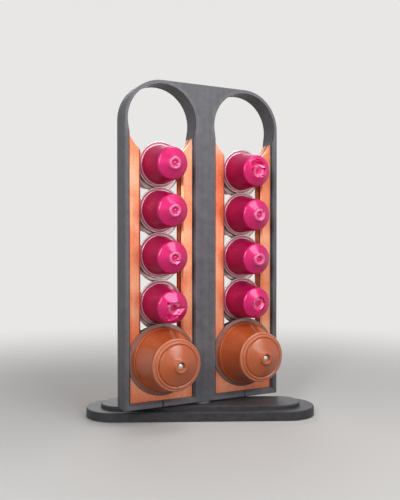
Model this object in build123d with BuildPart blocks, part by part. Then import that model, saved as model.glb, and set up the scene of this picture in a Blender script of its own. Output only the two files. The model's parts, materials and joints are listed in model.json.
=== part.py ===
from build123d import *
import os
from math import radians, sin, cos

# A capsule holder: an upright frame with two columns of capsules on each side,
# which turns on an oval base. X runs across the frame, Y to its rear, Z up.
# The origin is on the swivel axis, at the surface that the holder stands on.

# Base: an oval plate with a raised oval platform
base_length = 187.0
base_width = 46.8
plate_thickness = 7.1
ledge_at_ends = 11.9
ledge_at_sides = 7.4
platform_height = 3.1
base_turn = -25.2
base_edge_break = 0.7

# Foot pads, set into the underside of the plate
pad_diameter = 13.0
pad_thickness = 1.6
pad_stand = 0.6
pad_margin = 5.0

# Swivel: a bolt from below, its washer, a collar and a threaded insert
bolt_diameter = 6.0
head_margin = 2.25
head_height = 3.3
head_recess = 0.6
head_edge_break = 0.4
socket_across = 4.0
socket_depth = 2.0
washer_margin = 1.25
washer_thickness = 1.0
pocket_clearance = 0.5
collar_wall = 5.0
swivel_gap = 1.4
insert_wall = 1.2
insert_length = 11.0
insert_relief = 2.0
running_clearance = 0.06
seat_clearance = 0.05

# Upright frame
frame_height = 256.4
frame_depth = 16.8
middle_post = 21.0
rim_wall = 2.7
hole_clearance = 0.7
slot_chamfer = 1.7
bottom_bar = 4.9
bar_slit = 1.1
frame_edge_break = 0.5

# Channel in the middle of the frame for the small rims, and the lane for the large ones
web_thickness = 2.0
channel_clearance = 1.1
rim_play = 0.25
lane_clearance = 0.3

# Face plates that lie on the web, each with half of the channel behind its lip
strip_width = 9.15
lip_thickness = 1.5
plate_play = 0.15
rim_overlap = 0.8
lead_in_width = 1.5
lead_in_depth = 1.1

# Small capsules
rim_diameter = 36.9
rim_thickness = 1.2
rim_width = 3.15
small_taper = 2.75
small_shoulder_height = 24.0
small_cone_height = 4.0
nose_ring_diameter = 10.2
nose_ring_slope = 0.9
nose_ring_height = 1.2
nose_ring_wall = 1.4
dimple_depth = 1.5
small_wall = 0.4
small_lid_margin = 1.15
lid_thickness = 0.2
lid_gap = 0.6
small_droop = 3.3
rim_lap = 1.15
loose_rise = 2.0
stack_gap = 0.6
small_count = 4

# Large capsules
flange_hold = 1.6
flange_width = 2.8
flange_thickness = 0.8
large_taper = 6.5
large_body_height = 25.2
skirt_height = 4.3
skirt_step = 0.7
skirt_edge_break = 0.3
front_ring_step = 0.5
front_ring_width = 4.5
front_ring_height = 2.9
front_ring_face = 1.9
dome_drop = 1.2
dome_height = 7.0
dome_crown_share = 0.62
outlet_diameter = 10.0
outlet_height = 1.5
outlet_bore = 5.0
outlet_depth = 3.0
large_wall = 0.9
large_lid_margin = 1.1
flange_rise = 3.9
rear_seat_drop = 3.4

# One overrun serves all cuts
overrun = 1.0

# Sizes of the pieces that fit each other
platform_length = base_length - 2 * ledge_at_ends
platform_width = base_width - 2 * ledge_at_sides
head_diameter = bolt_diameter + 2 * head_margin
washer_diameter = head_diameter + 2 * washer_margin
collar_diameter = bolt_diameter + 2 * collar_wall
insert_diameter = bolt_diameter + 2 * insert_wall
small_base_diameter = rim_diameter - 2 * rim_width
small_shoulder_diameter = small_base_diameter - 2 * small_taper
small_lid_diameter = rim_diameter - 2 * small_lid_margin
nose_ring_top = nose_ring_diameter - 2 * nose_ring_slope
dimple_diameter = nose_ring_top - 2 * nose_ring_wall
channel_radius = rim_diameter / 2 + channel_clearance
plate_slot_radius = rim_diameter / 2 - rim_overlap
plate_width = 2 * (plate_slot_radius + strip_width)
slot_width = plate_width + 2 * plate_play
flange_diameter = slot_width + 2 * flange_hold
large_base_diameter = flange_diameter - 2 * flange_width
large_front_diameter = large_base_diameter - 2 * large_taper
large_lid_diameter = flange_diameter - 2 * large_lid_margin
front_ring_diameter = large_front_diameter + 2 * front_ring_step
dome_diameter = front_ring_diameter - 2 * front_ring_width
hole_diameter = flange_diameter + 2 * hole_clearance

# Levels and places that follow from the sizes above
base_bottom = pad_stand
plate_top = base_bottom + plate_thickness
platform_top = plate_top + platform_height
frame_bottom = platform_top + swivel_gap
column_pitch = slot_width + middle_post
column_x = column_pitch / 2
hole_radius = hole_diameter / 2
corner_radius = hole_radius + rim_wall
frame_width = column_pitch + 2 * corner_radius
hole_z = frame_bottom + frame_height - corner_radius
slot_bottom = frame_bottom + bottom_bar
half_depth = frame_depth / 2
web_half = web_thickness / 2
rim_swing = rim_diameter / 2 * sin(radians(small_droop))
small_lid_face = lid_gap / 2 + rim_swing
small_rim_face = small_lid_face + lid_thickness
lip_back = small_rim_face + rim_thickness + rim_swing + rim_play
plate_face = lip_back + lip_thickness
lane_radius = flange_diameter / 2 + lane_clearance
lane_depth = flange_thickness + lid_thickness + 2 * lane_clearance
large_lid_face = plate_face + lane_clearance
large_rim_face = large_lid_face + lid_thickness
columns = {"left": -column_x, "right": column_x}

os.makedirs("parts", exist_ok=True)


def keep(piece, name):
    piece.label = name
    export_step(piece, f"parts/{name}.step")


def front_sketch_plane(depth):
    return Plane.XZ.offset(depth)


def seat_level(face):
    drop = rear_seat_drop if face == "rear" else 0
    return slot_bottom + flange_rise + flange_diameter / 2 - drop


def capsule_plane(face, x, z, droop=0):
    # Local x is the capsule's radius, local y points from the frame's middle to its nose
    # A drooping capsule leans about the middle of its rim
    side = 1 if face == "rear" else -1
    fall = sin(radians(droop))
    reach = cos(radians(droop))
    rim_middle = small_rim_face + rim_thickness / 2
    start = (x, side * rim_middle * (1 - reach), z + rim_middle * fall)
    return Plane(origin=start, x_dir=(1, 0, 0), z_dir=(0, fall, side * reach))


# Base plate, turned on the swivel axis against the frame
base_plane = Plane.XY.rotated((0, 0, base_turn))
base_half_run = (base_length - base_width) / 2
platform_half_run = (platform_length - platform_width) / 2
bearing_bottom = base_bottom + head_recess + head_height + washer_thickness
pad_spacing = base_width - pad_diameter - 2 * pad_margin

with BuildPart() as base_plate:
    with BuildSketch(base_plane.offset(base_bottom)):
        SlotCenterToCenter(2 * base_half_run, base_width)
    extrude(amount=plate_thickness)
    chamfer(base_plate.faces().sort_by(Axis.Z)[-1].edges(), base_edge_break)
    with BuildSketch(base_plane.offset(plate_top)):
        SlotCenterToCenter(2 * platform_half_run, platform_width)
    extrude(amount=platform_height)
    chamfer(base_plate.faces().sort_by(Axis.Z)[-1].edges(), base_edge_break)
    with BuildSketch(base_plane.offset(base_bottom)):
        with GridLocations(2 * base_half_run, pad_spacing, 2, 2):
            Circle(pad_diameter / 2 + seat_clearance)
    extrude(amount=pad_thickness - pad_stand, mode=Mode.SUBTRACT)
    with BuildSketch(base_plane.offset(base_bottom)):
        Circle(washer_diameter / 2 + pocket_clearance)
    extrude(amount=bearing_bottom - base_bottom, mode=Mode.SUBTRACT)
    with BuildSketch(base_plane):
        Circle(bolt_diameter / 2 + running_clearance)
    extrude(amount=platform_top + overrun, mode=Mode.SUBTRACT)
keep(base_plate.part, "base_plate")

# Foot pads
for number, spot in enumerate(GridLocations(2 * base_half_run, pad_spacing, 2, 2), start=1):
    with BuildPart() as foot_pad:
        with BuildSketch(base_plane):
            with Locations(spot):
                Circle(pad_diameter / 2)
        extrude(amount=pad_thickness)
        chamfer(foot_pad.edges().group_by(Axis.Z)[0], pad_stand / 2)
    keep(foot_pad.part, f"foot_pad_{number}")

# Pivot bolt: head and washer in the base, shank through the collar into the insert
head_bottom = base_bottom + head_recess
head_top = head_bottom + head_height
insert_top = frame_bottom + insert_length

with BuildPart() as pivot_bolt:
    with BuildSketch(Plane.XY.offset(head_bottom)):
        Circle(head_diameter / 2)
    extrude(amount=head_height)
    chamfer(pivot_bolt.edges().group_by(Axis.Z)[0], head_edge_break)
    with BuildSketch(Plane.XY.offset(head_bottom)):
        RegularPolygon(socket_across / 2, 6, major_radius=False)
    extrude(amount=socket_depth, mode=Mode.SUBTRACT)
    with BuildSketch(Plane.XY.offset(head_top)):
        Circle(bolt_diameter / 2)
    extrude(amount=insert_top - head_top)
keep(pivot_bolt.part, "pivot_bolt")

with BuildPart() as bolt_washer:
    with BuildSketch(Plane.XY.offset(head_top)):
        Circle(washer_diameter / 2)
        Circle(bolt_diameter / 2 + seat_clearance, mode=Mode.SUBTRACT)
    extrude(amount=washer_thickness)
keep(bolt_washer.part, "bolt_washer")

with BuildPart() as swivel_collar:
    with BuildSketch(Plane.XY.offset(platform_top)):
        Circle(collar_diameter / 2)
        Circle(bolt_diameter / 2 + seat_clearance, mode=Mode.SUBTRACT)
    extrude(amount=swivel_gap)
keep(swivel_collar.part, "swivel_collar")

with BuildPart() as threaded_insert:
    with BuildSketch(Plane.XY.offset(frame_bottom)):
        Circle(insert_diameter / 2)
        Circle(bolt_diameter / 2 + seat_clearance, mode=Mode.SUBTRACT)
    extrude(amount=insert_length)
keep(threaded_insert.part, "threaded_insert")

# Upright frame: two keyholes, each with a recess on both faces and a web between them
with BuildPart() as frame:
    with BuildSketch(Plane.XZ) as outline:
        with Locations((0, frame_bottom)):
            Rectangle(frame_width, frame_height, align=(Align.CENTER, Align.MIN))
        fillet(outline.vertices().group_by(Axis.Y)[-1], corner_radius)
    extrude(amount=half_depth, both=True)
    chamfer(frame.faces().filter_by(Axis.Y).edges(), frame_edge_break)

    # Recesses for the face plates and the large flanges, open to the front and the rear
    for side in (1, -1):
        with BuildSketch(front_sketch_plane(side * half_depth)):
            with Locations((-column_x, slot_bottom), (column_x, slot_bottom)):
                Rectangle(slot_width, hole_z - slot_bottom, align=(Align.CENTER, Align.MIN))
        extrude(amount=-side * (half_depth - web_half), mode=Mode.SUBTRACT)
    recess_faces = frame.faces().filter_by(Plane.XZ).sort_by(Axis.Y)
    recess_edges = [
        edge
        for face in (recess_faces[0], recess_faces[-1])
        for wire in face.inner_wires()
        for edge in wire.edges().sort_by(Axis.Z)[:-1]
    ]
    chamfer(recess_edges, slot_chamfer)

    # Round entry holes and the channels below them
    with BuildSketch(Plane.XZ):
        with Locations((-column_x, hole_z), (column_x, hole_z)):
            Circle(hole_radius)
    extrude(amount=half_depth + overrun, both=True, mode=Mode.SUBTRACT)
    with BuildSketch(Plane.XZ):
        with Locations((-column_x, seat_level("front")), (column_x, seat_level("front"))):
            Circle(channel_radius)
            Rectangle(
                2 * channel_radius,
                hole_z - seat_level("front"),
                align=(Align.CENTER, Align.MIN),
            )
    extrude(amount=web_half + overrun, both=True, mode=Mode.SUBTRACT)

    # Lanes in the side walls, closed at the lower end, where the large flanges sit
    for face, side in (("front", 1), ("rear", -1)):
        with BuildSketch(front_sketch_plane(side * plate_face)):
            with Locations((-column_x, seat_level(face)), (column_x, seat_level(face))):
                Circle(lane_radius)
                Rectangle(
                    2 * lane_radius,
                    hole_z - seat_level(face),
                    align=(Align.CENTER, Align.MIN),
                )
        extrude(amount=side * lane_depth, mode=Mode.SUBTRACT)

    # Slits that part the bottom bar, and the bore for the insert
    with BuildSketch(Plane.XZ):
        with Locations((-column_x, frame_bottom), (column_x, frame_bottom)):
            Rectangle(bar_slit, bottom_bar, align=(Align.CENTER, Align.MIN))
    extrude(amount=half_depth + overrun, both=True, mode=Mode.SUBTRACT)
    with BuildSketch(Plane.XY.offset(frame_bottom)):
        Circle(insert_diameter / 2 + seat_clearance)
    extrude(amount=insert_length + insert_relief, mode=Mode.SUBTRACT)
keep(frame.part, "frame")


def face_plate(face, x):
    side = 1 if face == "front" else -1
    with BuildPart() as plate:
        with BuildSketch(front_sketch_plane(side * web_half)):
            with Locations((x, slot_bottom + plate_play)):
                Rectangle(
                    plate_width,
                    hole_z - slot_bottom,
                    align=(Align.CENTER, Align.MIN),
                )
            with Locations((x, seat_level("front"))):
                Circle(plate_slot_radius, mode=Mode.SUBTRACT)
                Rectangle(
                    2 * plate_slot_radius,
                    hole_z - seat_level("front") + hole_radius,
                    align=(Align.CENTER, Align.MIN),
                    mode=Mode.SUBTRACT,
                )
            with Locations((x, hole_z)):
                Circle(hole_radius, mode=Mode.SUBTRACT)
        extrude(amount=side * (plate_face - web_half))
        outer_face = plate.faces().sort_by(Axis.Y)[0 if face == "front" else -1]
        slot_edges = [
            edge
            for edge in outer_face.edges()
            if abs(edge.center().X - x) < plate_slot_radius + plate_play
            and edge.center().Z < hole_z - hole_radius
            and edge.center().Z > slot_bottom + bottom_bar
        ]
        chamfer(slot_edges, lead_in_depth, lead_in_width)
        with BuildSketch(front_sketch_plane(side * web_half)):
            with Locations((x, seat_level("front"))):
                Circle(channel_radius)
                Rectangle(
                    2 * channel_radius,
                    hole_z - seat_level("front"),
                    align=(Align.CENTER, Align.MIN),
                )
        extrude(amount=side * (lip_back - web_half), mode=Mode.SUBTRACT)
    return plate.part


def small_cup(plane):
    body_face = small_rim_face + rim_thickness
    shoulder = body_face + small_shoulder_height
    cone_top = shoulder + small_cone_height
    nose = cone_top + nose_ring_height
    base_r = small_base_diameter / 2
    shoulder_r = small_shoulder_diameter / 2
    ring_r = nose_ring_diameter / 2
    with BuildPart() as cup:
        with BuildSketch(plane):
            with BuildLine():
                Polyline(
                    (base_r - small_wall, small_rim_face),
                    (rim_diameter / 2, small_rim_face),
                    (rim_diameter / 2, body_face),
                    (base_r, body_face),
                    (shoulder_r, shoulder),
                    (ring_r, cone_top),
                    (nose_ring_top / 2, nose),
                    (dimple_diameter / 2, nose),
                    (dimple_diameter / 2, nose - dimple_depth),
                    (0, nose - dimple_depth),
                    (0, cone_top - dimple_depth),
                    (ring_r - small_wall, cone_top - dimple_depth),
                    (shoulder_r - small_wall, shoulder - small_wall),
                    close=True,
                )
            make_face()
        revolve(axis=Axis(plane.origin, plane.y_dir))
    return cup.part


def large_cup(plane):
    body_face = large_rim_face + flange_thickness
    skirt_top = body_face + skirt_height
    body_top = body_face + large_body_height
    ring_top = body_top + front_ring_height
    dome_base = ring_top - dome_drop
    dome_top = dome_base + dome_height
    outlet_top = dome_top + outlet_height
    skirt_r = large_base_diameter / 2
    foot_r = skirt_r - skirt_step
    front_r = large_front_diameter / 2
    ring_r = front_ring_diameter / 2
    dome_r = dome_diameter / 2
    outlet_r = outlet_diameter / 2
    bore_r = outlet_bore / 2
    crown_r = outlet_r + dome_crown_share * (dome_r - outlet_r)
    crown = dome_base + dome_crown_share * dome_height
    with BuildPart() as cup:
        with BuildSketch(plane):
            with BuildLine():
                Polyline(
                    (dome_r, dome_base),
                    (ring_r - front_ring_face, ring_top),
                    (ring_r, ring_top - front_ring_face / 2),
                    (ring_r, body_top),
                    (front_r, body_top),
                    (foot_r, skirt_top),
                    (skirt_r - skirt_edge_break, skirt_top),
                    (skirt_r, skirt_top - skirt_edge_break),
                    (skirt_r, body_face),
                    (flange_diameter / 2, body_face),
                    (flange_diameter / 2, large_rim_face),
                    (skirt_r - large_wall, large_rim_face),
                    (foot_r - large_wall, skirt_top - large_wall),
                    (front_r - large_wall, body_top - large_wall),
                    (dome_r, dome_base - large_wall),
                    (crown_r - large_wall, crown - large_wall),
                    (outlet_r, dome_top - outlet_depth),
                    (0, dome_top - outlet_depth),
                    (0, outlet_top - outlet_depth),
                    (bore_r, outlet_top - outlet_depth),
                    (bore_r, outlet_top),
                    (outlet_r, outlet_top),
                    (outlet_r, dome_top),
                )
                ThreePointArc((outlet_r, dome_top), (crown_r, crown), (dome_r, dome_base))
            make_face()
        revolve(axis=Axis(plane.origin, plane.y_dir))
    return cup.part


def lid(plane, diameter, face_level):
    with BuildPart() as disc:
        with BuildSketch(plane):
            with Locations((0, face_level)):
                Rectangle(diameter / 2, lid_thickness, align=(Align.MIN, Align.MIN))
        revolve(axis=Axis(plane.origin, plane.y_dir))
    return disc.part


# The lowest small capsule stands with its body on the large flange, and each rim laps over
# the one above it, apart from the lowest ones on the left, which hold the others up a little
rest_reach = large_rim_face - small_rim_face - rim_thickness
rest_radius = small_base_diameter / 2 - small_taper * rest_reach / small_shoulder_height
rest_fall = (rest_reach + rim_thickness / 2) * sin(radians(small_droop))
first_rise = flange_diameter / 2 + stack_gap + rest_radius + rest_fall
stack_pitch = rim_diameter - rim_lap


def small_level(face, side, number):
    steps = small_count - number
    loose = loose_rise if side == "left" and steps > 0 else 0
    return seat_level(face) + first_rise + steps * stack_pitch + loose


for face in ("front", "rear"):
    for side, x in columns.items():
        place = f"{face}_{side}"
        keep(face_plate(face, x), f"{place}_face_plate")
        seat = capsule_plane(face, x, seat_level(face))
        keep(large_cup(seat), f"{place}_large_cup")
        keep(lid(seat, large_lid_diameter, large_lid_face), f"{place}_large_lid")
        for number in range(1, small_count + 1):
            seat = capsule_plane(face, x, small_level(face, side, number), small_droop)
            keep(small_cup(seat), f"{place}_small_cup_{number}")
            keep(lid(seat, small_lid_diameter, small_lid_face), f"{place}_small_lid_{number}")
        top_rise = small_level(face, side, 1)
        print(f"{place}: top capsule at {top_rise:.2f}, travel {hole_z - top_rise:.2f}")

print(f"frame bottom {frame_bottom:.2f}, hole centre {hole_z:.2f}, frame width {frame_width:.2f}")
print(f"large seat {seat_level('front'):.2f}, lip back {lip_back:.2f}, plate face {plate_face:.2f}")
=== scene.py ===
import json
import math
import bmesh
import bpy
from mathutils import Matrix, Vector


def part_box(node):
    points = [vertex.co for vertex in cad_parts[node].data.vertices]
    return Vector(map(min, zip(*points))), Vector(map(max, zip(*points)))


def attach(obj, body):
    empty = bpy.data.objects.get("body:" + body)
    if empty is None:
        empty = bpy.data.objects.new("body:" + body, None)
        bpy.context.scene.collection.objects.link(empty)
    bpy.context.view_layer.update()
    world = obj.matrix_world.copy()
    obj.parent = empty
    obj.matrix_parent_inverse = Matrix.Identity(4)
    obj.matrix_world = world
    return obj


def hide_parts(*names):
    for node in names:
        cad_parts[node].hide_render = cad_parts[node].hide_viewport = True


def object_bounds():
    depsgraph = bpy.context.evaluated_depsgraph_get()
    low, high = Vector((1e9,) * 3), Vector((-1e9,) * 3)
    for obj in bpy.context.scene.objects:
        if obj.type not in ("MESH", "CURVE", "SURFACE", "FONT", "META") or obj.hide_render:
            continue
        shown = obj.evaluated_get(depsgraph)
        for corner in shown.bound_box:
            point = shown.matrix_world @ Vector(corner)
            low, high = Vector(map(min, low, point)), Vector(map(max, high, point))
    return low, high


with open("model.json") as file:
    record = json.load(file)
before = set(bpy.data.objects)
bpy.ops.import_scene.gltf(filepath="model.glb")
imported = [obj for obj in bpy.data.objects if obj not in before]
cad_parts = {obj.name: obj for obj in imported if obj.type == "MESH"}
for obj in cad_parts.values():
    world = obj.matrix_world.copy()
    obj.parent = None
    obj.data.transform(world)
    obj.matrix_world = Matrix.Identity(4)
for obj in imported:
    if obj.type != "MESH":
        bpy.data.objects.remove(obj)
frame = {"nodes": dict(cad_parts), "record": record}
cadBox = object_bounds()
print("frame loaded:", len(frame["nodes"]), "nodes")

mm = 0.001
smallNumbers = (1, 2, 3, 4)
places = [f"{face}_{side}" for face in ("front", "rear") for side in ("left", "right")]


def tone(red, green, blue):  # a colour as the eye reads it, 0 to 255, made linear by the sRGB curve
    steps = [value / 255 for value in (red, green, blue)]
    return [s / 12.92 if s <= 0.04045 else ((s + 0.055) / 1.055) ** 2.4 for s in steps] + [1.0]


class Wire:  # an output socket that can stand in a sum
    def __init__(self, graph, socket):
        self.graph = graph
        self.socket = socket

    def maths(self, operation, first, second):
        return self.graph.node("ShaderNodeMath", {"operation": operation}, {0: first, 1: second})

    def __add__(self, other):
        return self.maths("ADD", self, other)

    def __radd__(self, other):
        return self.maths("ADD", other, self)

    def __sub__(self, other):
        return self.maths("SUBTRACT", self, other)

    def __rsub__(self, other):
        return self.maths("SUBTRACT", other, self)

    def __mul__(self, other):
        return self.maths("MULTIPLY", self, other)

    def __rmul__(self, other):
        return self.maths("MULTIPLY", other, self)

    def __pow__(self, other):
        return self.maths("POWER", self, other)

    def __abs__(self):
        return self.maths("ABSOLUTE", self, 0.0)

    def __gt__(self, other):
        return self.maths("GREATER_THAN", self, other)

    def __lt__(self, other):
        return self.maths("LESS_THAN", self, other)


class Graph:  # the nodes of one material or of the world
    def __init__(self, owner):
        owner.use_nodes = True
        self.tree = owner.node_tree
        self.tree.nodes.clear()

    def node(self, kind, settings=None, sockets=None, output=0):
        made = self.tree.nodes.new(kind)
        for name, value in (settings or {}).items():
            if name == "stops":
                for place, stop in enumerate(value):
                    spots = made.color_ramp.elements
                    spot = spots[place] if place < len(spots) else spots.new(stop[0])
                    spot.position, spot.color = stop
            else:
                setattr(made, name, value)
        for name, value in (sockets or {}).items():
            if isinstance(value, Wire):
                self.tree.links.new(value.socket, made.inputs[name])
            else:
                made.inputs[name].default_value = value
        return Wire(self, made.outputs[output]) if made.outputs else made

    def mix(self, share, first, second):  # two colours, at the colour sockets of a Mix node
        return self.node("ShaderNodeMix", {"data_type": "RGBA"}, {0: share, 6: first, 7: second}, output=2)

    def spots(self, size, detail=3.0, stretch=(1, 1, 1), turn=0.0):  # noise, size in mm
        return self.node("ShaderNodeTexNoise", None, {
            "Vector": self.coordinates(stretch, turn), "Scale": 1 / (size * mm), "Detail": detail})

    def coordinates(self, stretch=(1, 1, 1), turn=0.0):
        return self.node("ShaderNodeMapping", None, {
            "Vector": self.node("ShaderNodeTexCoord", output=3),  # Object
            "Rotation": (0, 0, math.radians(turn)), "Scale": stretch})

    def parts(self, vector):  # the three numbers of a vector, one wire each
        split = self.node("ShaderNodeSeparateXYZ", None, {0: vector}).socket.node
        return [Wire(self, socket) for socket in split.outputs]

    def axes(self, turn=0.0):
        return self.parts(self.coordinates(turn=turn))

    def normals(self):  # how far a face looks along each axis, either way
        return [abs(part) for part in self.parts(self.node("ShaderNodeNewGeometry", output=1))]

    def lines(self, along, pitch):  # a wave from 0 to 1 along one coordinate, pitch in mm
        turns = along * (2 * math.pi / (pitch * mm))
        return self.node("ShaderNodeMath", {"operation": "SINE"}, {0: turns}) * 0.5 + 0.5

    def fade(self, value, start, end, first=0.0, last=1.0):
        return self.node("ShaderNodeMapRange", {"interpolation_type": "SMOOTHSTEP"}, {
            0: value, 1: start, 2: end, 3: first, 4: last})

    def bump(self, height, depth):  # depth in mm
        return self.node("ShaderNodeBump", None, {
            "Height": height, "Distance": depth * mm, "Strength": 1.0})

    def seen(self):  # 1 where the camera, a reflection or a clear body looks at the surface, else 0
        rays = self.node("ShaderNodeLightPath").socket.node
        camera, mirror, clear = (Wire(self, rays.outputs[f"Is {name} Ray"])
                                 for name in ("Camera", "Glossy", "Transmission"))
        return clear.maths("MAXIMUM", camera.maths("MAXIMUM", camera, mirror), clear)

    def shader(self, **sockets):
        named = {name.replace("_", " "): value for name, value in sockets.items()}
        shade = self.node("ShaderNodeBsdfPrincipled", None, named)
        self.node("ShaderNodeOutputMaterial", None, {"Surface": shade})


def blended(wires, shares):  # a sum of patterns, each by its share
    first, *rest = [wire * share for wire, share in zip(wires, shares)]
    return sum(rest, first)


def finish(name):
    material = bpy.data.materials.new(name)
    return material, Graph(material)


keyhole = {  # mm, the outline that the printed lines of the frame follow
    "column": 37.45,
    "holeHeight": 236.65,
    "hole": 29.25,
    "slot": 26.95,
}
printedLook = {
    "patches": {"size": 6.0, "detail": 5.0},  # soft patches, bands and grain, mm across
    "bands": {"size": 2.6},
    "grain": {"size": 0.8, "detail": 2.0},
    "standing": (1.0, 1.0, 0.03),  # stretch of the bands where the layers stand, and where they lie
    "lying": (0.15, 1.0, 1.0),
    "layer": 0.25,  # mm between printed layers
    "lineDepth": 0.006,
    "flatFrom": 0.8,  # faces that look this far along the print lie in its layers
    "toneShares": (0.45, 0.35, 0.2),  # of patches, bands and grain
    "contrast": 1.8,
    "darker": 0.4,
    "sideShade": 0.2,  # painted shade: faces across the layers are darker still
    "glintFrom": 0.68,  # painted highlight: glints, bright specks, from this much grain
    "glint": 0.35,
    "heightShares": (2.0, 0.9),  # of bands and grain
    "track": 0.9,  # mm between the lines that follow the outline
    "trackEnd": (1.6, 3.4),  # mm from the outline where those lines fade
    "trackHighlight": (0.18, 0.14),  # painted highlight along the outline: what they add to the colour, even and in lines
    "trackHeight": 1.5,
    "roughness": 0.52,
    "roughShares": (0.12, -0.1),  # of bands and grain
    "specular": 0.4,
}


def outlineReach(axes):  # distance from the edge of the nearer keyhole
    column = abs(abs(axes[0]) - keyhole["column"] * mm)
    above = axes[2] - keyhole["holeHeight"] * mm
    fromHole = (column * column + above * above) ** 0.5 - keyhole["hole"] * mm
    fromSlot = column - keyhole["slot"] * mm + (above > 0)
    return fromHole.maths("MINIMUM", fromHole, fromSlot)


def printedPlastic(name, dark, light, layerAxis, turn=0.0):
    look = printedLook
    material, graph = finish(name)
    standing = layerAxis == 1
    axes, normals = graph.axes(turn), graph.normals()
    bands = graph.spots(**look["bands"], stretch=look["standing" if standing else "lying"], turn=turn)
    patches = graph.spots(**look["patches"])
    grain = graph.spots(**look["grain"])
    layers = graph.lines(axes[layerAxis], look["layer"])
    flat = normals[layerAxis] > look["flatFrom"]
    share = blended((patches, bands, grain), look["toneShares"]) * look["contrast"]
    # painted shade: faces across the layers get a darker colour
    share = share - look["darker"] - (1 - flat) * look["sideShade"]
    height = layers * (1 - flat) + blended((bands, grain), look["heightShares"])
    if standing:
        reach = outlineReach(axes)
        start, end = (value * mm for value in look["trackEnd"])
        tracks = flat * graph.fade(reach, start, end, 1.0, 0.0)
        wave = graph.lines(reach, look["track"])
        even, lined = look["trackHighlight"]
        # painted highlight: lighter along the outline of the keyholes, over the printed lines
        share = share + tracks * (even + wave * lined)
        height = height + tracks * wave * look["trackHeight"]
    # painted highlight: glints as bright specks in the colour
    glints = grain > look["glintFrom"]
    graph.shader(
        Base_Color=graph.mix(share + glints * look["glint"], dark, light),
        Roughness=look["roughness"] + blended((bands, grain), look["roughShares"]),
        Normal=graph.bump(height, look["lineDepth"]),
        Specular_IOR_Level=look["specular"],
    )
    return material


copperLook = {
    "streaks": {"size": 1.3, "detail": 1.0, "stretch": (1.0, 1.0, 0.02)},  # mm across, drawn out upwards
    "bands": {"size": 26.0, "detail": 1.0, "stretch": (0.5, 0.5, 1.0)},
    "flecks": {"size": 0.6, "detail": 2.0, "stretch": (1, 1, 0.5)},
    "specks": {"size": 0.7, "detail": 1.0, "stretch": (1, 1, 0.4)},
    "toneShares": (0.12, 0.62, 0.26),  # of streaks, bands and flecks
    "brightSpeck": (0.66, 0.06),  # from this much noise, and what it adds
    "darkSpeck": (0.3, 0.09),
    "tones": [(0.32, tone(208, 91, 53)), (0.47, tone(235, 134, 95)), (0.62, tone(248, 174, 138))],
    "roughness": 0.3,
    "roughShares": (0.08, -0.05),  # of streaks and flecks
    "heightShares": (0.3, 0.4),
    "depth": 0.006,
    "metal": 0.6,
}


def silkCopper(name):
    look = copperLook
    material, graph = finish(name)
    streaks, bands, flecks, specks = (
        graph.spots(**look[pattern]) for pattern in ("streaks", "bands", "flecks", "specks"))
    brightFrom, brighter = look["brightSpeck"]
    darkTo, darker = look["darkSpeck"]
    worn = (specks > brightFrom) * brighter - (specks < darkTo) * darker
    share = blended((streaks, bands, flecks), look["toneShares"]) + worn
    graph.shader(
        Base_Color=graph.node("ShaderNodeValToRGB", {"stops": look["tones"]}, {0: share}),
        Metallic=look["metal"],
        Roughness=look["roughness"] + blended((streaks, flecks), look["roughShares"]),
        Normal=graph.bump(blended((streaks, flecks), look["heightShares"]), look["depth"]),
    )
    return material


pinkLook = {
    "clouds": {"size": 7.0},
    "scratches": {"size": 0.7, "detail": 2.0, "stretch": (1.0, 0.12, 1.0)},  # along the capsule
    "toneShares": (0.75, 0.25),  # of clouds and scratches
    "roughShares": (0.08, 0.05),
    "heightShares": (2.0, 0.3),
    "depth": 0.016,
    "metal": 0.22,
    "specular": 0.18,
    "nose": {"roughness": 0.26, "coat": 0.56, "coatRoughness": 0.11},
    "side": {"roughness": 0.44, "coat": 0.22, "coatRoughness": 0.3},  # drawn metal is duller
}


def anodised(name, deep, bright, part):
    look = pinkLook
    sheen = look[part]
    material, graph = finish(name)
    patterns = graph.spots(**look["clouds"]), graph.spots(**look["scratches"])
    graph.shader(
        Base_Color=graph.mix(blended(patterns, look["toneShares"]), deep, bright),
        Metallic=look["metal"],
        Roughness=sheen["roughness"] + blended(patterns, look["roughShares"]),
        Normal=graph.bump(blended(patterns, look["heightShares"]), look["depth"]),
        Specular_IOR_Level=look["specular"],
        Coat_Weight=sheen["coat"],
        Coat_Roughness=sheen["coatRoughness"],
    )
    return material


mouldedLook = {
    "clouds": {"size": 9.0},
    "grain": {"size": 0.35, "detail": 1.0},
    "toneShares": (0.7, 0.3),  # of clouds and grain
    "roughness": 0.38,
    "roughShares": (0.08, 0.05),
    "heightShares": (1.5, 1.0),
    "depth": 0.008,
    "specular": 0.3,
    "coat": 1.0,
    "coatRoughness": 0.25,
}


def mouldedPlastic(name, deep, bright, duller=0.0):
    look = mouldedLook
    material, graph = finish(name)
    patterns = graph.spots(**look["clouds"]), graph.spots(**look["grain"])
    graph.shader(
        Base_Color=graph.mix(blended(patterns, look["toneShares"]), deep, bright),
        Roughness=look["roughness"] + duller + blended(patterns, look["roughShares"]),
        Normal=graph.bump(blended(patterns, look["heightShares"]), look["depth"]),
        Specular_IOR_Level=look["specular"],
        Coat_Weight=look["coat"],
        Coat_Roughness=look["coatRoughness"],
    )
    return material


metalLook = {
    "clouds": {"size": 4.0},
    "fine": {"size": 0.5, "detail": 2.0},
    "toneShares": (0.6, 0.4),  # of clouds and fine noise
    "heightShares": (1.0, 0.5),
    "roughShare": 0.1,
}


def plainMetal(name, deep, bright, roughness, metal=1.0, wrinkle=0.012):  # wrinkle in mm
    look = metalLook
    material, graph = finish(name)
    patterns = graph.spots(**look["clouds"]), graph.spots(**look["fine"])
    graph.shader(
        Base_Color=graph.mix(blended(patterns, look["toneShares"]), deep, bright),
        Metallic=metal,
        Roughness=roughness + patterns[1] * look["roughShare"],
        Normal=graph.bump(blended(patterns, look["heightShares"]), wrinkle),
    )
    return material


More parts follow.
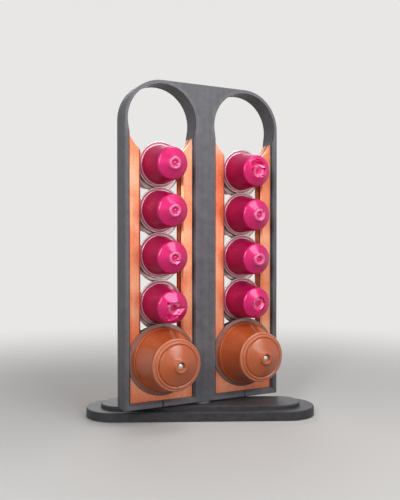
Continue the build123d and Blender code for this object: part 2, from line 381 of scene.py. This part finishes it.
baseTurn = 25.2  # degrees, the base under the frame at rest
finishes = {
    "frame_plastic": printedPlastic("charcoalPrint", tone(78, 78, 83), tone(120, 120, 126), 1),
    "base_plastic": printedPlastic("charcoalBase", tone(44, 43, 46), tone(80, 79, 83), 2, turn=baseTurn),
    "collar_plastic": mouldedPlastic("greyCollar", tone(120, 119, 122), tone(150, 149, 152)),
    "copper_plate": silkCopper("copperSilk"),
    "pad_rubber": mouldedPlastic("padRubber", tone(24, 24, 25), tone(38, 38, 40), duller=0.3),
    "bolt_steel": plainMetal("boltSteel", tone(120, 121, 124), tone(172, 173, 176), roughness=0.28),
    "insert_brass": plainMetal("insertBrass", tone(160, 122, 58), tone(198, 160, 88), roughness=0.3),
    "small_cup_foil": anodised("magentaFoil", tone(212, 12, 98), tone(236, 24, 124), "nose"),
    "large_cup_plastic": mouldedPlastic("terracottaCup", tone(180, 82, 38), tone(204, 100, 50)),
    "lid_foil": plainMetal("lidFoil", tone(176, 160, 146), tone(206, 194, 182),
                           roughness=0.32, metal=0.9, wrinkle=0.03),
}
rimSilver = plainMetal("rimSilver", tone(180, 179, 177), tone(212, 211, 208), roughness=0.24, metal=0.95)
rimPink = plainMetal("rimPink", tone(190, 92, 118), tone(212, 124, 148), roughness=0.26, metal=0.6)
# painted highlight: a paler pink for the nose rings of the small cups
noseHighlightPink = anodised("noseHighlightPink", tone(240, 92, 150), tone(250, 124, 174), "nose")
# painted shade: a darker magenta for the sides of the small cups
shadedSideFoil = anodised("shadedSideFoil", tone(176, 14, 76), tone(202, 22, 98), "side")
flangeMauve = mouldedPlastic("flangeMauve", tone(120, 84, 74), tone(146, 108, 98))
# painted highlight: a paler tone for the ring crests of the large cups
paintedCrestHighlight = mouldedPlastic("paintedCrestHighlight", tone(196, 106, 68), tone(216, 128, 90))
for entry in frame["record"]["subparts"]:
    mesh = frame["nodes"][entry["node"]].data
    mesh.materials.clear()
    mesh.materials.append(finishes[entry["material_slot"]])
print("finishes:", len(bpy.data.materials))

lathe = {
    "merge": 0.001,  # mm
    "near": 0.01,  # mm, how close a point has to be to count as one of the profile
    "roundSteps": 3,
    "sharpFrom": 38,  # degrees between faces, from which an edge stays sharp
}


def radiusOf(point, centre):
    return math.hypot(point.x - centre.x, point.z - centre.z)


def turned(profile, centre, side, steps):  # radius, height and rounding in mm, spun about the axis
    bm = bmesh.new()
    points = [bm.verts.new((centre.x + radius * mm, side * height * mm, centre.z))
              for radius, height, rounding in profile]
    runs = [bm.edges.new(pair) for pair in zip(points, points[1:])]
    bmesh.ops.spin(bm, geom=points + runs, cent=centre, axis=(0, 1, 0), angle=2 * math.pi,
                   steps=steps, use_merge=True)
    bmesh.ops.remove_doubles(bm, verts=bm.verts, dist=lathe["merge"] * mm)
    bmesh.ops.recalc_face_normals(bm, faces=bm.faces)
    near = lathe["near"] * mm
    for radius, height, rounding in profile:
        if rounding:
            ring = [edge for edge in bm.edges if all(
                abs(radiusOf(vert.co, centre) - radius * mm) < near
                and abs(vert.co.y - side * height * mm) < near for vert in edge.verts)]
            bmesh.ops.bevel(bm, geom=ring, offset=rounding * mm, offset_type="OFFSET",
                            segments=lathe["roundSteps"], profile=0.5, affect="EDGES", material=-1)
    return bm


def capsulePlace(place, low, high):  # middle of its axis, side of the frame, rim's radius in mm
    centre = Vector(((low.x + high.x) / 2, 0, (low.z + high.z) / 2))
    side = 1 if place.startswith("rear") else -1
    return centre, side, (high.x - low.x) / 2 / mm


def faceSpot(face, centre):  # radius and height of its middle, mm
    middle = face.calc_center_median()
    return radiusOf(middle, centre) / mm, abs(middle.y) / mm


def settle(bm, name, body, nodeName, materials):  # makes the mesh a piece of the object
    for edge in bm.edges:
        angle = edge.calc_face_angle(0) if len(edge.link_faces) == 2 else math.pi
        edge.smooth = angle < math.radians(lathe["sharpFrom"])
    mesh = bpy.data.meshes.new(name)
    bm.to_mesh(mesh)
    bm.free()
    for polygon in mesh.polygons:
        polygon.use_smooth = True
    for material in materials:
        mesh.materials.append(material)
    piece = bpy.data.objects.new(name, mesh)
    bpy.context.scene.collection.objects.link(piece)
    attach(piece, body)
    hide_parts(nodeName)


smallCup = {  # mm
    "steps": 96,
    "rimBack": 1.56,  # distance of the rim's back from the middle of the frame
    "length": 30.4,
    "droop": 3.3,  # degrees
    "pivotHeight": 0.6,  # above the rim's back, where the capsule droops
    "wall": 0.4,
    "nose": [  # radius, depth under the nose and rounding, from the dimple out to the top of the cone
        (0, 1.0, 0), (0.7, 1.1, 0.3), (1.5, 1.5, 0.35), (2.5, 0.75, 0.3), (3.2, 0.1, 0.35), (4.1, 0, 0.45),
        (4.85, 0.5625, 0.35), (5.2, 1.25, 0.3)],
    "coneRings": 12,  # fine enough for dents
    "shoulder": (12.55, 5.2),  # radius, and depth under the nose
    "shoulderRound": 1.3,  # distance from the shoulder's corner at which its rounding starts
    "shoulderSteps": 6,
    "bodyEnd": (15.2, 2.2),  # radius, and height above the rim's back
    "bead": [(15.5, 1.1, 0.2), (15.95, 1.15, 0.2), (16.05, 0.7, 0.1)],  # radius, height, rounding
    "edge": [(1.3, 0.7, 0.12), (1.2, 1.2, 0.4), (0, 1.2, 0.5), (0, 0, 0.5)],  # the same, from the rim in
    "mouth": 14.9,  # inner radius at the rim's back
    "solid": 4.0,  # the inside of the cup ends this far under the shoulder
    "bareEdge": 1.32,  # width of the silver edge
    "bareBead": (15.6, 0.8),  # radius and height from which the bead is silver
    "noseHighlightRing": (2.7, 5.0, 0.875),  # painted highlight on the nose ring: from and to radius, and depth under the nose
    "shadedSideFrom": 0.4,  # painted shade: depth under the shoulder from which the side is darker
    "pressed": 7.5,  # depth under the nose down to which dents reach
}
# at: middle of a facet, across and up from the axis; level: its depth under the nose
# slope: its rise across and up; edge: share of its size where it starts to blend out; lift: raises as well
smallDents = {
    "front_left_3": [
        dict(at=(2.4, -3.3), size=(2.9, 1.9), turn=36, level=1.8, slope=(0.18, -0.52), edge=0.75),
        dict(at=(3.3, -5.0), size=(2.2, 0.9), turn=36, level=3.4, slope=(-0.3, 0.5), edge=0.5),
    ],
    "front_left_4": [
        dict(at=(-1.6, 7.9), size=(6.2, 3.8), turn=-6, level=3.4, slope=(0.16, -0.52), edge=0.86),
        dict(at=(-0.4, -0.4), size=(6.2, 5.0), turn=10, level=2.7, slope=(0.06, 0.12), edge=0.88),
        dict(at=(-1.8, -0.6), size=(3.3, 3.6), turn=20, level=3.7, slope=(-0.25, 0.35), edge=0.8),
        dict(at=(-4.9, 0.4), size=(1.5, 4.0), turn=8, level=2.6, slope=(0.36, -0.5), edge=0.7),
        dict(at=(3.8, -4.6), size=(7.0, 3.4), turn=37, level=2.7, slope=(0.18, -0.52), edge=0.85),
        dict(at=(5.0, -1.4), size=(3.2, 2.0), turn=48, level=2.4, slope=(0.6, 0.2), edge=0.75),
        dict(at=(-0.6, -7.6), size=(5.0, 1.7), turn=20, level=4.2, slope=(0.3, -0.2), edge=0.7),
        dict(at=(-0.3, -2.9), size=(7.6, 1.3), turn=35, level=6.4, slope=(0, 0), edge=0.5),
    ],
    "front_right_1": [
        dict(at=(0.2, 2.0), size=(7.9, 7.3), turn=-15, level=3.6, slope=(0.05, -0.1), edge=0.9),
        dict(at=(-0.8, 6.0), size=(6.8, 2.6), turn=-12, level=5.2, slope=(-0.1, 0.5), edge=0.7),
        dict(at=(2.6, 3.6), size=(5.6, 1.5), turn=-20, level=1.7, slope=(0.25, -0.36), edge=0.5, lift=True),
        dict(at=(-2.6, -0.4), size=(3.4, 4.0), turn=25, level=2.6, slope=(-0.3, 0.25), edge=0.8, lift=True),
        dict(at=(2.1, -1.6), size=(2.3, 3.6), turn=-20, level=2.3, slope=(0.42, -0.26), edge=0.8, lift=True),
        dict(at=(-1.4, -4.7), size=(1.3, 1.0), turn=0, level=1.9, slope=(0.25, -0.36), edge=0.5, lift=True),
        dict(at=(2.6, -4.6), size=(1.3, 1.0), turn=20, level=2.0, slope=(0.25, -0.36), edge=0.5, lift=True),
    ],
    "front_right_2": [
        dict(at=(3.5, 0.4), size=(1.7, 3.8), turn=6, level=1.5, slope=(0.5, -0.3), edge=0.7),
        dict(at=(2.0, -2.8), size=(2.2, 1.4), turn=30, level=1.3, slope=(0.33, -0.46), edge=0.6),
    ],
    "front_right_4": [
        dict(at=(0.6, -0.6), size=(5.8, 6.2), turn=20, level=3.6, slope=(-0.06, 0.1), edge=0.88),
        dict(at=(-0.6, 0.2), size=(2.6, 4.6), turn=-12, level=2.9, slope=(0.2, 0.05), edge=0.75, lift=True),
        dict(at=(2.0, 1.2), size=(0.8, 4.0), turn=-8, level=5.2, slope=(0, 0), edge=0.35),
        dict(at=(3.7, -3.0), size=(4.8, 1.4), turn=50, level=2.6, slope=(0.22, -0.49), edge=0.55, lift=True),
    ],
}


def press(bm, centre, side, nose, dent):  # pushes an oval patch of the nose onto a flat facet
    turn = math.radians(dent["turn"])
    along = Vector((math.cos(turn), math.sin(turn)))
    middle = Vector(dent["at"])
    for vert in bm.verts:
        spot = (vert.co - centre) / mm
        height = side * spot.y
        away = Vector((spot.x, spot.z)) - middle
        reach = math.hypot(away.dot(along) / dent["size"][0], along.cross(away) / dent["size"][1])
        if height > nose - smallCup["pressed"] and reach < 1:
            facet = nose - dent["level"] + away.dot(Vector(dent["slope"]))
            share = min(1.0, (1 - reach) / (1 - dent["edge"]))
            target = facet if dent.get("lift") else min(facet, height)
            vert.co.y = side * (height + (target - height) * share) * mm


def coneProfile(cup, nose, back):  # from the nose over the rounded shoulder to the end of the body
    coneRadius, coneDrop, _ = cup["nose"][-1]
    shoulderRadius, shoulderDrop = cup["shoulder"]
    bodyRadius, bodyHeight = cup["bodyEnd"]
    start, end = Vector((coneRadius, nose - coneDrop)), Vector((bodyRadius, back + bodyHeight))
    corner = Vector((shoulderRadius, nose - shoulderDrop))
    roundFrom = corner + (start - corner).normalized() * cup["shoulderRound"]
    roundTo = corner + (end - corner).normalized() * cup["shoulderRound"]
    spots = [start.lerp(roundFrom, step / cup["coneRings"]) for step in range(1, cup["coneRings"])]
    for step in range(cup["shoulderSteps"] + 1):
        share = step / cup["shoulderSteps"]
        spots.append(roundFrom.lerp(corner, share).lerp(corner.lerp(roundTo, share), share))
    return [(spot.x, spot.y, 0) for spot in spots + [end]]


def colourSmallCup(bm, cup, centre, nose, back, rim):
    shoulderRadius, shoulderDrop = cup["shoulder"]
    beadRadius, beadHeight = cup["bareBead"]
    beadOut = cup["bead"][-1][0]
    paleFrom, paleTo, paleDrop = cup["noseHighlightRing"]
    for face in bm.faces:
        reach, height = faceSpot(face, centre)
        bareBead = beadRadius < reach < beadOut and height > back + beadHeight
        if reach > rim - cup["bareEdge"] or bareBead:
            face.material_index = 1
        elif reach >= beadOut:
            face.material_index = 2
        elif paleFrom < reach < paleTo and height > nose - paleDrop:
            face.material_index = 3  # painted highlight: the nose ring is paler
        elif reach > shoulderRadius and height < nose - shoulderDrop - cup["shadedSideFrom"]:
            face.material_index = 4  # painted shade: and darker on the drawn side


def buildSmallCup(place, number):
    nodeName = f"{place}_small_cup_{number}"
    centre, side, rim = capsulePlace(place, *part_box(nodeName))
    cup = smallCup
    back = cup["rimBack"]
    nose = back + cup["length"]
    shoulderRadius, shoulderDrop = cup["shoulder"]
    deep = nose - shoulderDrop - cup["solid"]
    profile = [
        *[(radius, nose - depth, rounding) for radius, depth, rounding in cup["nose"]],
        *coneProfile(cup, nose, back),
        *[(radius, back + height, rounding) for radius, height, rounding in cup["bead"]],
        *[(rim - inset, back + height, rounding) for inset, height, rounding in cup["edge"]],
        (cup["mouth"], back, 0),
        (shoulderRadius - cup["wall"], deep, 0),
        (0, deep, 0),
    ]
    bm = turned(profile, centre, side, cup["steps"])
    colourSmallCup(bm, cup, centre, nose, back, rim)
    dents = smallDents.get(f"{place}_{number}", [])
    if dents:  # a finer mesh where the nose is dented
        crushed = [edge for edge in bm.edges if all(
            side * vert.co.y / mm > nose - cup["pressed"] and radiusOf(vert.co, centre) / mm < shoulderRadius
            for vert in edge.verts)]
        bmesh.ops.subdivide_edges(bm, edges=crushed, cuts=1, use_grid_fill=True)
    for dent in dents:
        press(bm, centre, side, nose, dent)
    pivot = Vector((centre.x, side * (back + cup["pivotHeight"]) * mm, centre.z))
    droop = Matrix.Rotation(-side * math.radians(cup["droop"]), 3, "X")
    bmesh.ops.rotate(bm, verts=bm.verts, cent=pivot, matrix=droop)
    settle(bm, f"smallCup_{place}_{number}", f"{place}_small_{number}", nodeName,
           [finishes["small_cup_foil"], rimSilver, rimPink, noseHighlightPink, shadedSideFoil])


largeCup = {  # mm
    "steps": 128,
    "wall": 0.9,
    "outlet": [  # radius, depth under the nose and rounding, from the foil in the bore out to the dome
        (0, 1.1, 0), (1.5, 1.4, 0.4), (3.0, 2.2, 0), (3.0, 0.2, 0.3), (3.8, 0, 0.4), (4.9, 0.1, 0.4),
        (5.4, 0.8, 0.3), (5.5, 1.6, 0.25)],
    "domeCurve": 1.1,  # 1 is a plain cone
    "domeSteps": 8,
    "rings": [  # radius, depth under the top of the dome, rounding, from the dome's edge out over two rings
        (15.35, 4.2, 0.4), (15.45, 5.3, 0.1), (15.75, 5.3, 0.1), (16.6, 4.7, 0.3), (17.4, 4.8, 0.4),
        (17.8, 6.4, 0.1), (18.1, 6.4, 0.1), (18.2, 6.3, 0.2), (19.3, 6.2, 0.4), (20.05, 7.0, 0.4),
        (20.05, 9.4, 0.25), (19.25, 9.4, 0.3)],
    "skirt": [  # radius, height above the flange's back, rounding, from the body's foot out to the flange
        (24.75, 5.0, 0.1), (24.95, 5.6, 0.3), (25.65, 5.5, 0.4), (25.75, 4.5, 0.2), (25.85, 0.8, 0.25)],
    "flange": (0.8, 0.2),  # thickness and rounding
    "inside": [(24.85, 0), (24.15, 4.2)],  # radius, and height above the flange's back
    "floor": 4.8,  # depth under the nose of the floor behind the outlet
    "flangeFrom": 25.95,  # radius
    "foil": (2.85, 3.1),  # radius, and depth under the nose of the bare foil in the bore
    "crestHighlight": (16.6, 7.8),  # painted highlight: radius, and depth under the top of the dome, from which the ring crests are painted paler
}


def buildLargeCup(place):
    nodeName = f"{place}_large_cup"
    low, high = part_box(nodeName)
    centre, side, rim = capsulePlace(place, low, high)
    cup = largeCup
    back, nose = sorted((abs(low.y) / mm, abs(high.y) / mm))
    outletRadius, outletHeight, _ = cup["outlet"][-1]
    domeRadius, domeHeight, _ = cup["rings"][0]
    domeTop = nose - outletHeight
    dome = []  # from the outlet down to its edge, a blunt cone
    for step in range(1, cup["domeSteps"]):
        share = step / cup["domeSteps"]
        dome.append((outletRadius + (domeRadius - outletRadius) * share,
                     domeTop - domeHeight * share ** cup["domeCurve"], 0))
    neck, neckDrop, _ = cup["rings"][-1]
    flange, flangeRound = cup["flange"]
    floor = nose - cup["floor"]
    profile = [
        *[(radius, nose - depth, rounding) for radius, depth, rounding in cup["outlet"]],
        *dome,
        *[(radius, domeTop - depth, rounding) for radius, depth, rounding in cup["rings"]],
        *[(radius, back + height, rounding) for radius, height, rounding in cup["skirt"]],
        (rim, back + flange, flangeRound),
        (rim, back, flangeRound),
        *[(radius, back + height, 0) for radius, height in cup["inside"]],
        (neck - cup["wall"], domeTop - neckDrop - cup["wall"], 0),
        (outletRadius, floor, 0),
        (0, floor, 0),
    ]
    bm = turned(profile, centre, side, cup["steps"])
    foilRadius, foilDepth = cup["foil"]
    crestHighlightRadius, crestHighlightDepth = cup["crestHighlight"]
    for face in bm.faces:
        reach, height = faceSpot(face, centre)
        if reach > cup["flangeFrom"]:
            face.material_index = 1
        elif reach < foilRadius and height > nose - foilDepth:
            face.material_index = 2
        # painted highlight: the ring crests are paler
        elif reach > crestHighlightRadius and height > domeTop - crestHighlightDepth:
            face.material_index = 3
    settle(bm, f"largeCup_{place}", f"{place}_large", nodeName,
           [finishes["large_cup_plastic"], flangeMauve, rimSilver, paintedCrestHighlight])


for place in places:
    buildLargeCup(place)
    for number in smallNumbers:
        buildSmallCup(place, number)
print("capsules:", len(places) * (len(smallNumbers) + 1))

studio = {
    "floorRadius": 6.0,  # metres
    "floorSides": 96,
    "floorTone": tone(216, 215, 213),
    "bounceTone": tone(86, 85, 84),  # the floor as the object's own surfaces are lit by it
    "skyTone": tone(232, 231, 229),
    "skyLight": 0.05,  # strength of the world's own light
    "fadeFrom": 0.13,  # metres from the middle where the floor starts to fade into the sky
    "fadeTo": 0.62,
}
lamps = {  # place, size and power in metres and watts; all look at the middle of the object
    "key": {"place": (-0.50, -0.47, 0.40), "size": (0.14, 0.44), "power": 2.4},
    "spark": {"place": (0.12, -0.46, 0.50), "size": (0.32, 0.24), "power": 1.55},
    "left": {"place": (-0.62, -0.16, 0.34), "size": (0.12, 0.12), "power": 0.2},
    "top": {"place": (0.10, -0.08, 0.66), "size": (0.24, 0.24), "power": 0.7},
    "front": {"place": (0.37, -0.72, 0.17), "size": (0.14, 0.14), "power": 0.24},
    "dome": {"place": (0.05, -0.66, 0.34), "size": (0.20, 0.12), "power": 0.42},
    "back": {"place": (0.26, 0.72, 0.46), "size": (0.5, 0.4), "power": 2.4},
}


def paleFloor():
    material, graph = finish("paleFloor")
    x, y, _ = graph.axes()
    far = graph.fade((x * x + y * y) ** 0.5, studio["fadeFrom"], studio["fadeTo"])
    seen = graph.seen()
    bounce = graph.node("ShaderNodeBsdfDiffuse", None, {"Color": studio["bounceTone"]})
    matt = graph.node("ShaderNodeBsdfDiffuse", None, {"Color": studio["floorTone"]})
    near = graph.node("ShaderNodeMixShader", None, {0: seen, 1: bounce, 2: matt})
    glow = graph.node("ShaderNodeEmission", None, {"Color": studio["skyTone"]})
    both = graph.node("ShaderNodeMixShader", None, {0: far * seen, 1: near, 2: glow})
    graph.node("ShaderNodeOutputMaterial", None, {"Surface": both})
    return material


def buildStudio():
    bm = bmesh.new()
    bmesh.ops.create_circle(bm, cap_ends=True, segments=studio["floorSides"], radius=studio["floorRadius"])
    mesh = bpy.data.meshes.new("floor")
    bm.to_mesh(mesh)
    bm.free()
    mesh.materials.append(paleFloor())
    floor = bpy.data.objects.new("floor", mesh)
    bpy.context.scene.collection.objects.link(floor)
    world = bpy.data.worlds.new("studioSky")
    bpy.context.scene.world = world
    graph = Graph(world)
    light = studio["skyLight"]
    sky = graph.node("ShaderNodeBackground", None, {
        "Color": studio["skyTone"], "Strength": light + graph.seen() * (1 - light)})
    graph.node("ShaderNodeOutputWorld", None, {"Surface": sky})


def buildLamps(target):
    for name, lamp in lamps.items():
        light = bpy.data.lights.new(name, "AREA")
        light.energy = lamp["power"]
        light.shape = "RECTANGLE"
        light.size, light.size_y = lamp["size"]
        holder = bpy.data.objects.new(name, light)
        holder.location = lamp["place"]
        holder.rotation_euler = (target - holder.location).to_track_quat("-Z", "Y").to_euler()
        bpy.context.scene.collection.objects.link(holder)


viewpoint = {
    "place": (-0.2444, -0.4719, 0.1430),  # metres
    "heading": 27.32,  # degrees to the right of straight ahead
    "tilt": 0.82,  # degrees down
    "lens": 46.58,
    "sensor": 36.0,
}


def buildCamera():
    heading, tilt = math.radians(viewpoint["heading"]), math.radians(viewpoint["tilt"])
    sight = Vector((math.sin(heading) * math.cos(tilt), math.cos(heading) * math.cos(tilt), -math.sin(tilt)))
    lens = bpy.data.cameras.new("camera")
    lens.lens = viewpoint["lens"]
    lens.sensor_width = viewpoint["sensor"]
    holder = bpy.data.objects.new("camera", lens)
    holder.location = viewpoint["place"]
    holder.rotation_euler = sight.to_track_quat("-Z", "Y").to_euler()
    bpy.context.scene.collection.objects.link(holder)
    bpy.context.scene.camera = holder


buildStudio()
buildLamps((cadBox[0] + cadBox[1]) / 2)
buildCamera()
bpy.context.scene.view_settings.view_transform = "Standard"
print("studio ready")
